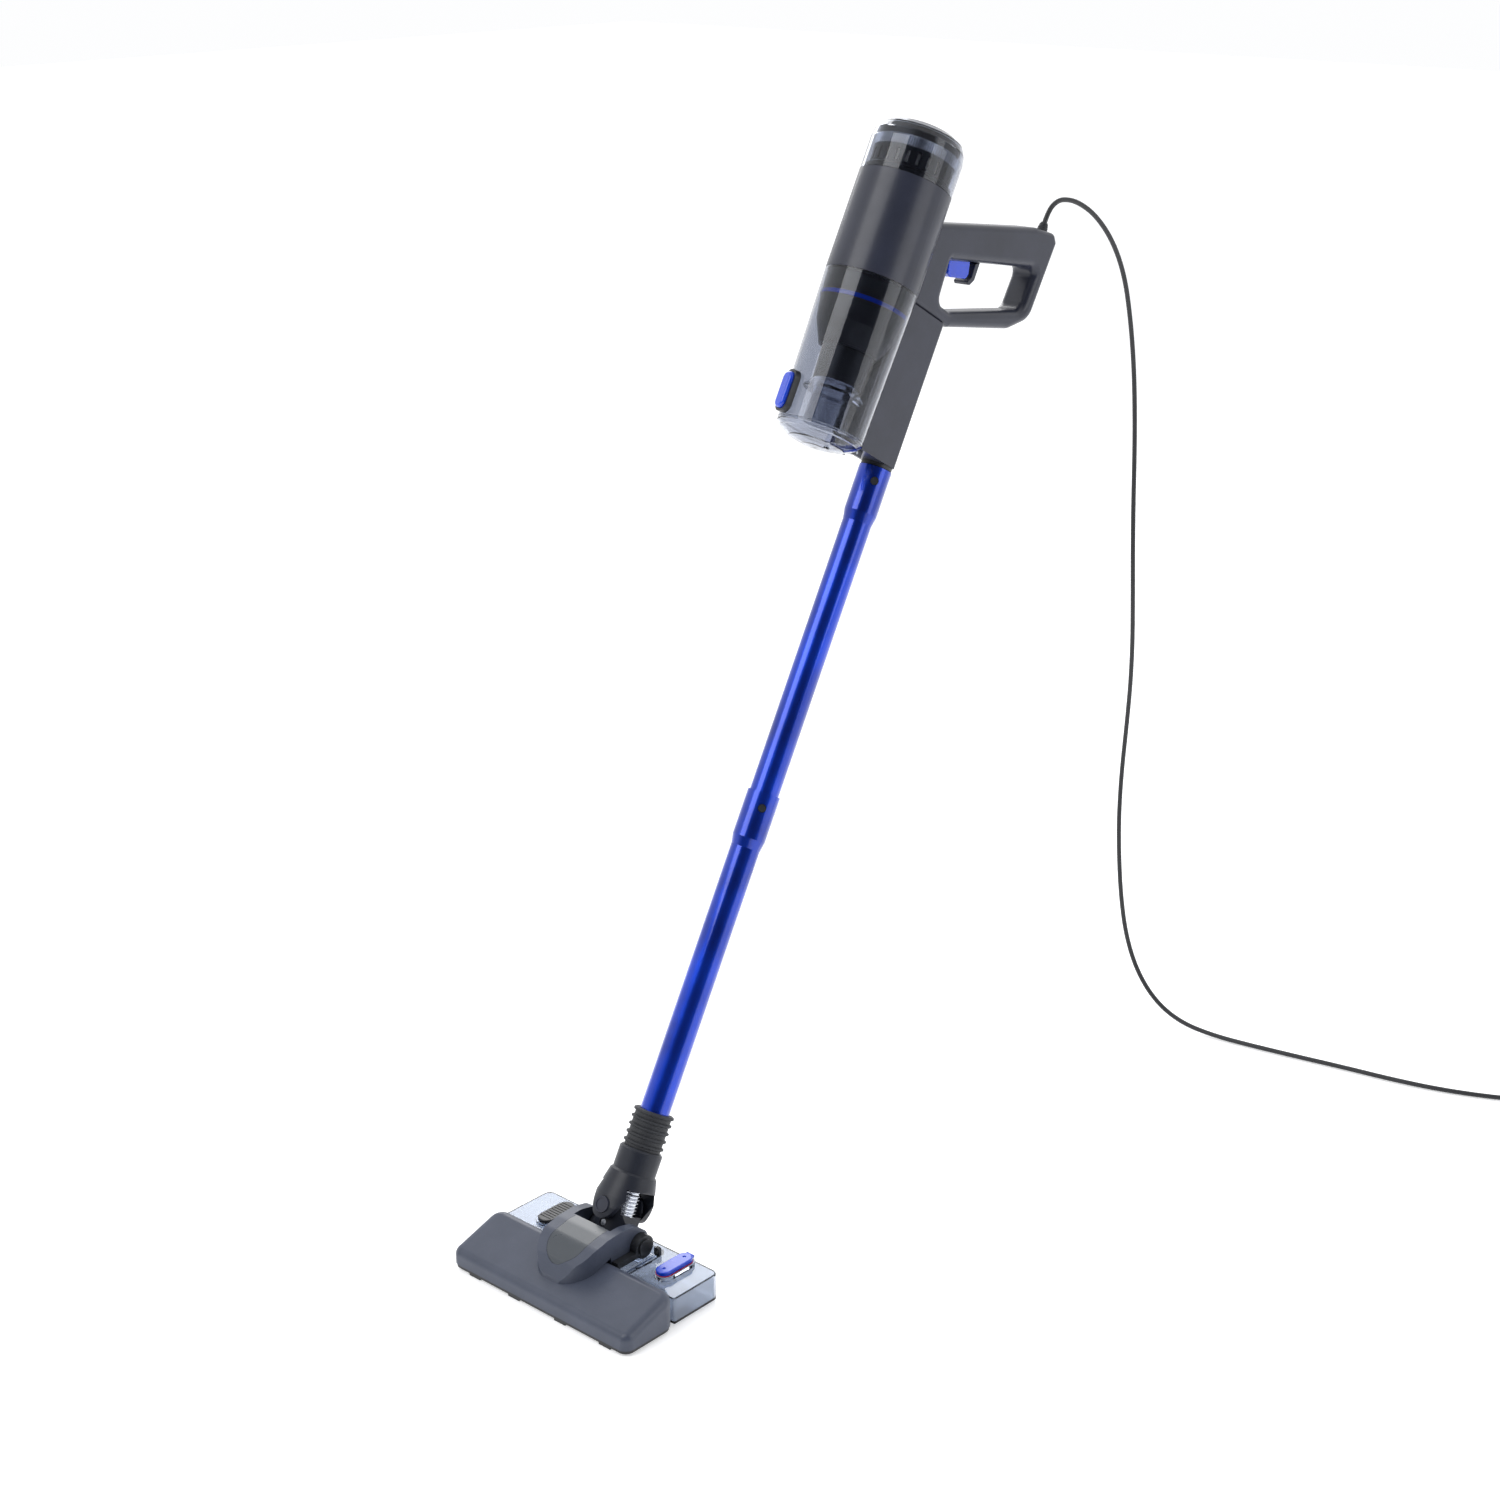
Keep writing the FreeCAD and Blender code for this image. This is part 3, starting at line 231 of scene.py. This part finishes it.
def tube_mat():
    m = Mat("blue_tube")
    streak = m.noise(1.0, 4, 0.6, vec=m.mapped((900, 30, 30)))
    flake = m.voronoi(3200)
    slow = m.noise(14, 3, 0.5)
    c = m.mixrgb(m.ramp(slow, [(0.3, 0.0), (0.75, 1.0)]), lin("00268A"), lin("0440CC"))
    c = m.mixrgb(0.18, c, m.ramp(flake, [(0.0, 1.25), (0.6, 0.85)]), "MULTIPLY")
    m.color(c)
    m.set(Metallic=0.85, Coat_Weight=0.9, Coat_Roughness=0.08, Specular_IOR_Level=0.6)
    m.rough(m.remap(streak, 0.24, 0.36))
    m.normal(m.bump(flake, 0.10, 0.00002))
    return m.mat


MAT["tube"] = tube_mat()


def metal(name, base, dark, rough, aniso=0.0, streak=(40, 40, 900)):
    m = Mat(name)
    s = m.noise(1.0, 4, 0.6, vec=m.mapped(streak))
    c = m.mixrgb(m.ramp(s, [(0.3, 0.0), (0.7, 1.0)]), dark, base)
    m.color(c)
    m.set(Metallic=1.0, Anisotropic=aniso)
    m.rough(m.remap(m.noise(60, 5, 0.7), rough - 0.05, rough + 0.07))
    m.normal(m.bump(s, 0.12, 0.00003))
    return m.mat


MAT["steel"] = metal("steel", lin("B9BDC4"), lin("989DA6"), 0.28)
MAT["ring_silver"] = metal("ring_silver", lin("D3D6DB"), lin("AEB2BA"), 0.20)
MAT["chrome"] = metal("chrome_hose", lin("DADDE2"), lin("B7BCC6"), 0.13)
MAT["alu"] = metal("aluminium", lin("A9ADB3"), lin("8C9097"), 0.38)
MAT["brass"] = metal("brass_pin", lin("D8B25A"), lin("BF9A48"), 0.22)
MAT["copper"] = metal("copper_winding", lin("B5622F"), lin("8E4820"), 0.3, streak=(30, 30, 2500))


def clear(name, tint, rough=0.03, ior=1.5, haze=420, weight=1.0, alpha=1.0):
    """polycarbonate: tinted, with faint moulding swirls and tiny scratches"""
    m = Mat(name)
    swirl = m.noise(18, 3, 0.5, dist=0.8)
    c = m.mixrgb(m.ramp(swirl, [(0.3, 0.0), (0.7, 1.0)]), tuple(x * 0.94 for x in tint[:3]) + (1,), tint)
    m.color(c)
    m.set(Transmission_Weight=weight, IOR=ior, Alpha=alpha)
    m.rough(m.remap(m.noise(haze, 3, 0.6), max(0.0, rough - 0.015), rough + 0.02))
    m.normal(m.bump(m.noise(55, 2, 0.5), 0.05, 0.0004))
    return m.mat


MAT["smoke"] = clear("smoke_clear", lin("BCC0CA"), 0.03, 1.40)
MAT["tank"] = clear("tank_clear", lin("BFC6D2"), 0.03, 1.42)
MAT["seal_clear"] = clear("clear_seal", lin("D8DCE4"), 0.22, 1.4)


def foam():
    m = Mat("filter_foam")
    v = m.voronoi(900)
    # painted shade: the cell hollows are painted darker than the cell walls, following the same voronoi pits that drive
    # the bump
    c = m.mixrgb(m.ramp(v, [(0.15, 0.0), (0.6, 1.0)]), lin("B9BCC0"), lin("E6E7E9"))
    m.color(c)
    m.rough(m.remap(m.noise(200), 0.82, 0.95))
    m.normal(m.bump(v, 0.8, 0.0006))
    return m.mat


MAT["foam"] = foam()


def paper():
    m = Mat("pleated_paper")
    w = m.wave(160, direction="X")
    fib = m.noise(1400, 4, 0.7)
    # painted shade: the pleat valleys are painted darker and the crests lighter in the colour, following the same wave
    # that drives the pleat bump
    c = m.mixrgb(m.ramp(w, [(0.2, 0.0), (0.8, 1.0)]), lin("C9C7BE"), lin("F0EEE6"))
    c = m.mixrgb(0.3, c, m.ramp(fib, [(0.3, 0.85), (0.7, 1.05)]), "MULTIPLY")
    m.color(c)
    m.set(Roughness=0.9)
    m.normal(m.bump(w, 0.8, 0.0006))
    return m.mat


MAT["paper"] = paper()

SLOT = {
    "slate_plastic": "slate", "dark_plastic": "dark", "charcoal_rubber": "charcoal", "blue_plastic": "blue", "blue_tube": "tube",
    "smoke_clear": "smoke", "tank_clear": "tank", "ring_silver": "ring_silver", "chrome_hose": "chrome", "filter_foam": "foam",
    "pleated_paper": "paper", "steel": "steel", "brass_pin": "brass", "copper_winding": "copper", "aluminium": "alu",
    "red_seal": "red", "clear_seal": "seal_clear", "cord_rubber": "cord", "wheel_rubber": "wheel",
}
for sp in frame["record"]["subparts"]:
    o = NODES[sp["node"]]
    o.data.materials.clear()
    key = SLOT[sp["material_slot"]]
    if sp["node"] in ("head_shell", "saddle_cover") and key == "slate":
        key = "head_grey"
    if sp["node"] in ("neck_lower", "neck_socket") and key == "slate":
        key = "neck_grey"
    if sp["node"] == "saddle_inlay":
        key = "inlay_grey"
    o.data.materials.append(MAT[key])

# ------------------------------------------------------------------ turned and wound pieces
BK = -106.6


def sweep(name, rows, closed, mat, body, *nodes):
    """a mesh from rows of points, each row a closed loop round the piece"""
    mesh = bpy.data.meshes.new(name)
    verts, faces = [], []
    w = len(rows[0])
    for r in rows:
        verts += [tuple(v) for v in r]
    h = len(rows)
    for i in range(h if closed else h - 1):
        a, b = i * w, ((i + 1) % h) * w
        for j in range(w):
            q = (j + 1) % w
            faces.append((a + j, a + q, b + q, b + j))
    mesh.from_pydata(verts, [], faces)
    mesh.validate()
    bm = bmesh.new()
    bm.from_mesh(mesh)
    bmesh.ops.recalc_face_normals(bm, faces=bm.faces)
    bm.to_mesh(mesh); bm.free()
    ob = bpy.data.objects.new(name, mesh)
    bpy.context.scene.collection.objects.link(ob)
    mesh.materials.append(mat)
    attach(ob, body)
    if nodes:
        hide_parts(*nodes)
    return ob


def around(k0, r, s, a):
    return W(k0 + r * math.sin(a), s, r * math.cos(a))


# the ribbed silver ring inside the clear cap
N_RIB = 110
rows = []
for rr, ss, flute in ((43.2, 1150.0, 0), (43.9, 1149.9, 0), (45.1, 1150.5, 1), (45.1, 1155.5, 1), (45.1, 1160.5, 1), (43.9, 1161.1, 0), (43.2, 1161.0, 0)):
    loop = []
    for j in range(N_RIB * 6):
        dip = (0.0, 0.1, 0.55, 0.9, 0.55, 0.1)[j % 6] if flute else 0.0
        loop.append(around(BK, rr - dip, ss, 2 * math.pi * j / (N_RIB * 6)))
    rows.append(loop)
ribring = sweep("ribbed_ring", rows, True, MAT["ring_silver"], "wand", "exhaust_ring")

# the spiral hose in the fork window: a helical ridge on a thin wall
PITCH = 3.7
rows = []
H0, H1 = 5.5, 48.7
STEPS = 132
for i in range(STEPS + 1):
    ss = H0 + (H1 - H0) * i / STEPS
    loop = []
    for j in range(72):
        a = 2 * math.pi * j / 72
        ph = ((ss - H0) / PITCH - j / 72.0) % 1.0
        ridge = max(0.0, math.sin(ph * 2 * math.pi)) ** 0.7
        top = min(1.0, (ss - H0) / 2.0, (H1 - ss) / 7.0)
        loop.append(around(0.0, 14.0 + 0.5 * min(1.0, (H1 - ss) / 7.0) + 2.0 * ridge * max(0.0, top), ss, a))
    rows.append(loop)
for ss in (H1, H0):
    rows.append([around(0.0, 13.6, ss, 2 * math.pi * j / 72) for j in range(72)])
hose = sweep("spiral_hose", rows, True, MAT["chrome"], "neck", "neck_hose")
hose.data.shade_smooth()

# ------------------------------------------------------------------ mains cord
CORD_R = 0.0028
route = [W(143, 1188)] + [C(*p) for p in (
    (0.0, 756.9, 1020.1), (0.2, 768.3, 1028.3), (1.0, 783.0, 1031.2), (3.6, 808.3, 1025.8), (8.0, 839.1, 1007.8),
    (12.2, 869.4, 976.1), (15.1, 892.5, 934.2), (16.3, 906.8, 884.2), (17.5, 917.0, 830.0), (19.0, 922.0, 775.0),
    (22.0, 922.0, 718.0), (27.0, 917.0, 661.0), (33.0, 912.0, 604.0), (37.0, 911.0, 547.0), (38.0, 914.0, 490.0),
    (35.0, 919.0, 433.0), (31.0, 921.0, 376.0), (30.0, 917.0, 319.0), (33.0, 911.0, 263.0), (39.0, 907.0, 208.0),
    (46.0, 906.0, 154.0), (56.0, 907.0, 104.0), (74.0, 909.0, 60.0), (102.0, 911.0, 27.0), (138.0, 914.0, 8.5),
    (184.0, 919.0, 3.2), (236.0, 927.0, 3.2), (292.0, 938.0, 3.2), (348.0, 950.0, 3.2), (404.0, 960.0, 3.2),
    (456.0, 973.0, 3.2), (502.0, 991.0, 3.2), (540.0, 1011.0, 3.2), (573.0, 1031.0, 3.2))]
d_in = Vector((33.0, 20.0, 0.0)).normalized()
side = Vector((-d_in.y, d_in.x, 0.0))
OUTER = 0.0423
coil_mid = C(573.0, 1031.0, 0.0) + d_in * 0.024 + side * OUTER
PLUG_ANGLE = math.radians(118.0)
d_plug = Vector((math.cos(PLUG_ANGLE), math.sin(PLUG_ANGLE), 0.0))
plug_at = coil_mid + Vector((d_plug.y, -d_plug.x, 0.0)) * OUTER + d_plug * 0.028 + Vector((0, 0, 0.017))


def ease(t):
    t = min(1.0, max(0.0, t))
    return t * t * (3 - 2 * t)


def coil_at(u):
    """where the coil's wire is after u turns: radius and height"""
    layer = min(3, int(u / 3.74))
    v = u - layer * 3.74
    j = min(3, int(v))
    idx = j + (ease((v - j - 0.76) / 0.14) if j < 3 else 0.0)
    z = layer
    if layer < 3 and v > 3.60:
        z = layer + ease((v - 3.60) / 0.14)
    if layer % 2 == 0:
        idx = 3 - idx
    return 25.2 + 5.7 * idx, 3.2 + 5.6 * z


TURNS = 15 + (28.0 + 58.78) / 360.0
a0 = math.atan2(d_in.y, d_in.x) - math.pi / 2
per = 14
coil_pts = []
n = int(TURNS * per)
for i in range(1, n + 1):
    u = i / per
    r, z = coil_at(u)
    if u > TURNS - 0.2:
        z -= 3.0 * ease((u - TURNS + 0.2) / 0.25)
    a = a0 + u * 2 * math.pi
    r = r / 1000 * 1.0253
    coil_pts.append(coil_mid + Vector((r * math.cos(a), r * math.sin(a), z / 1000)))
wire = route + coil_pts + [plug_at - d_plug * 0.012, plug_at, plug_at + d_plug * 0.008]


# the tie that holds the coil, a flat strap round its turns
strap = []
for ang in [math.radians(x) for x in (178.0, 180.0, 184.0, 188.0, 190.0)]:
    er = Vector((math.cos(ang), math.sin(ang), 0.0))
    edge = 0.25 if ang in (math.radians(178.0), math.radians(190.0)) else 0.0
    outl = []
    for cx, cz, ra in ((46.4, 0.45, 0.3), (46.4, 24.4, 2.6), (22.2, 24.4, 2.6), (22.2, 0.45, 0.3)):
        sx, sz = (-1 if cx > 30 else 1), (-1 if cz > 10 else 1)
        mid = (cx + sx * ra, cz + sz * ra)
        base = {(46.4, 0.45): -90, (46.4, 24.4): 0, (22.2, 24.4): 90, (22.2, 0.45): 180}[(cx, cz)]
        for q in range(5):
            t = math.radians(base + 22.5 * q)
            outl.append((mid[0] + (ra - edge) * math.cos(t), mid[1] + (ra - edge) * math.sin(t)))
    strap.append([coil_mid + er * (u / 1000) + Vector((0, 0, v / 1000)) for u, v in outl])
inner_side = []
for row in strap:
    c = sum(row, Vector()) / len(row)
    inner_side.append([c + (v - c) * 1.0 - (v - c).normalized() * 0.0004 for v in row])
tie = sweep("coil_tie", strap + inner_side[::-1], True, MAT["dark"], "wand")


def ribbon(name, points, radius):
    cu = bpy.data.curves.new(name, "CURVE")
    cu.dimensions = "3D"
    sp = cu.splines.new("NURBS")
    sp.points.add(len(points) - 1)
    for q, p in zip(sp.points, points):
        q.co = (p.x, p.y, p.z, 1.0)
    sp.order_u = 3
    sp.use_endpoint_u = True
    sp.resolution_u = 6
    cu.bevel_depth = radius
    cu.bevel_resolution = 5
    cu.use_fill_caps = True
    ob = bpy.data.objects.new(name, cu)
    bpy.context.scene.collection.objects.link(ob)
    return ob


flex = ribbon("mains_cord", wire, CORD_R)
flex.data.materials.append(MAT["cord"])
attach(flex, "wand")
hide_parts("cord", "cord_coil")

# ------------------------------------------------------------------ studio
scene = bpy.context.scene
scene.view_settings.view_transform = "Standard"
scene.view_settings.look = "None"
world = bpy.data.worlds.new("studio")
scene.world = world
world.use_nodes = True
bg = world.node_tree.nodes["Background"]
# a white studio that falls off to grey in front, so glossy pieces get dark cores and bright edges
wt = world.node_tree
wg = wt.nodes.new("ShaderNodeTexCoord")
dot = wt.nodes.new("ShaderNodeVectorMath")
dot.operation = "DOT_PRODUCT"
dot.inputs[1].default_value = (0.668, -0.744, 0.0)
wt.links.new(wg.outputs["Generated"], dot.inputs[0])
wr = wt.nodes.new("ShaderNodeValToRGB")
for e, (pos, col) in zip(wr.color_ramp.elements, ((0.10, (0.985, 0.988, 0.995, 1)), (0.70, (0.06, 0.065, 0.085, 1)))):
    e.position, e.color = pos, col
wt.links.new(dot.outputs["Value"], wr.inputs["Fac"])
wt.links.new(wr.outputs["Color"], bg.inputs["Color"])
bg.inputs["Strength"].default_value = 1.0


def area(name, at, target, w, h, power, col=(1, 1, 1)):
    l = bpy.data.lights.new(name, "AREA")
    l.shape = "RECTANGLE"
    l.size, l.size_y = w, h
    l.energy = power
    l.color = col
    o = bpy.data.objects.new(name, l)
    scene.collection.objects.link(o)
    o.location = at
    o.rotation_euler = (Vector(target) - Vector(at)).to_track_quat("-Z", "Y").to_euler()
    return o


area("key", (-0.6, -2.6, 3.0), (0, 0, 0.4), 2.4, 2.4, 62)
area("fill", (3.2, 0.8, 1.8), (0, 0, 0.6), 1.8, 2.4, 26)
area("rim", (-2.6, 1.8, 2.4), (0, 0, 0.6), 1.6, 2.4, 40)

fm = Mat("floor")
fm.color(fm.mixrgb(fm.ramp(fm.noise(3, 3), [(0.3, 0.0), (0.7, 1.0)]), (0.86, 0.865, 0.875, 1), (0.90, 0.905, 0.915, 1)))
fm.set(Roughness=0.8, Emission_Color=(1, 1, 1, 1), Emission_Strength=0.42, Specular_IOR_Level=0.2)
me = bpy.data.meshes.new("floor")
bm = bmesh.new()
bmesh.ops.create_grid(bm, x_segments=4, y_segments=4, size=14.0)
bm.to_mesh(me); bm.free()
floor = bpy.data.objects.new("floor", me)
scene.collection.objects.link(floor)
floor.location.z = -0.0004
me.materials.append(fm.mat)
